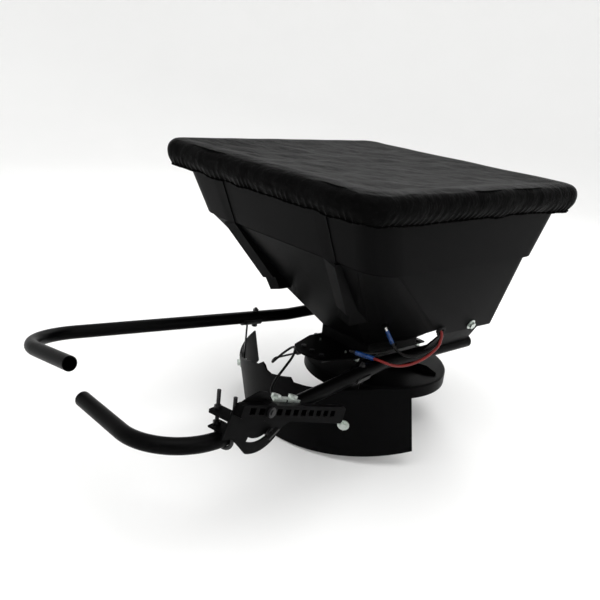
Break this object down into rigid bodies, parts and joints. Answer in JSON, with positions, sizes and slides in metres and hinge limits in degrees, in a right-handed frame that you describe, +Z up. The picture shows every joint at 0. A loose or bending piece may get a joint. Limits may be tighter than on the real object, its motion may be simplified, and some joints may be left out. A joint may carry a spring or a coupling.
{
  "type": "broadcast spreader",
  "caption": "Square covered hopper on a pair of bent carrying tubes, with a motor-driven spinner disc, a curved deflector and a lever that works the feed gate through a cable.",
  "frame": {"origin": "the point where the spinner's axis crosses the centre plane of the two tubes", "axes": "+Z up along the spinner's axis, -Y towards the vehicle, +X the side with the flow lever"},
  "size_m": [0.57, 0.8979, 0.5394],
  "materials": {
    "black_tube": "semi-gloss black powder coat",
    "black_plug": "moulded end plug",
    "black_steel": "satin black powder coat on sheet steel",
    "hopper_plastic": "fine-grained moulded polyethylene",
    "zinc": "bright zinc plate",
    "cover_cloth": "coated woven nylon, slight sheen",
    "hem_elastic": "elastic cord sewn in the hem",
    "black_screw": "black oxide",
    "gear_housing": "die-cast",
    "motor_can": "black enamel",
    "inner_plastic": "moulded dome",
    "bronze_bush": "sintered bronze",
    "shaft_steel": "ground steel",
    "spinner_plastic": "satin moulded plastic",
    "gate_steel": "cold-rolled sheet",
    "guide_plastic": "moulded rails",
    "wire_steel": "spring wire",
    "anchor_steel": "dark plated steel",
    "cable_sheath": "black cable sheath",
    "lever_plastic": "glass-filled nylon",
    "stop_steel": "dark wing knob",
    "deflector_steel": "satin black powder coat",
    "hanger_steel": "satin black powder coat",
    "grommet_rubber": "soft black rubber",
    "red_sheath": "PVC insulation",
    "black_sheath": "PVC insulation",
    "blue_crimp": "insulated crimp sleeve",
    "tinned": "tinned copper"
  },
  "bodies": {
    "frame": {"rail_near": "black_tube", "rail_far": "black_tube", "rail_plugs": "black_plug", "side_bracket_near": "black_steel", "side_bracket_far": "black_steel", "hopper": "hopper_plastic", "hopper_bolts": "zinc", "base_plate": "black_steel", "plate_bolts": "black_screw", "plate_nuts": "zinc", "gearbox": "gear_housing", "motor": "motor_can", "motor_dome": "inner_plastic", "motor_screws": "zinc", "shaft_bush": "bronze_bush", "gate_guides": "guide_plastic", "guide_screws": "zinc", "cable_anchor": "anchor_steel", "control_cable": "cable_sheath", "cable_clamp": "zinc", "clamp_screws": "zinc", "quadrant": "black_steel", "lever_pivot": "black_screw", "u_bolt": "black_screw", "u_bolt_nuts": "black_screw", "u_bolt_bridge": "black_steel", "deflector": "deflector_steel", "hanger_near": "hanger_steel", "hanger_far": "hanger_steel", "hanger_bolts": "black_screw", "deflector_bolts": "zinc", "grommet": "grommet_rubber", "red_lead": "red_sheath", "red_crimp": "blue_crimp", "black_lead": "black_sheath", "black_crimp": "blue_crimp", "terminal": "tinned", "motor_lead": "black_sheath"},
    "cover_body": {"cover": "cover_cloth", "cover_elastic": "hem_elastic"},
    "rotor": {"drive_shaft": "shaft_steel", "spinner": "spinner_plastic", "spinner_nut": "zinc"},
    "lever": {"flow_lever": "lever_plastic"},
    "stop": {"rate_stop": "stop_steel"},
    "gate_body": {"gate": "gate_steel", "gate_wire": "wire_steel"}
  },
  "joints": [
    {"name": "spinner_spin", "type": "hinge", "parent": "frame", "child": "rotor", "pos_m": [0, 0, 0], "axis": [0, 0, 1], "continuous": true},
    {"name": "lever_swing", "type": "hinge", "parent": "frame", "child": "lever", "pos_m": [0.2514, -0.51237, 0.039], "axis": [0.9808, 0.1951, 0], "range_deg": [0, 60]},
    {"name": "gate_slide", "type": "slide", "parent": "frame", "child": "gate_body", "axis": [0, -1, 0], "range_m": [0, 0.042]},
    {"name": "stop_shift", "type": "hinge", "parent": "frame", "child": "stop", "pos_m": [0.2514, -0.51237, 0.039], "axis": [0.9808, 0.1951, 0], "range_deg": [-40, 0]},
    {"name": "cover_lift", "type": "slide", "parent": "frame", "child": "cover_body", "axis": [0, 0, 1], "range_m": [0, 0.12]}
  ],
  "couplings": [
    {"joint": "gate_slide", "follows": "lever_swing", "m_per_rad": 0.04}
  ]
}
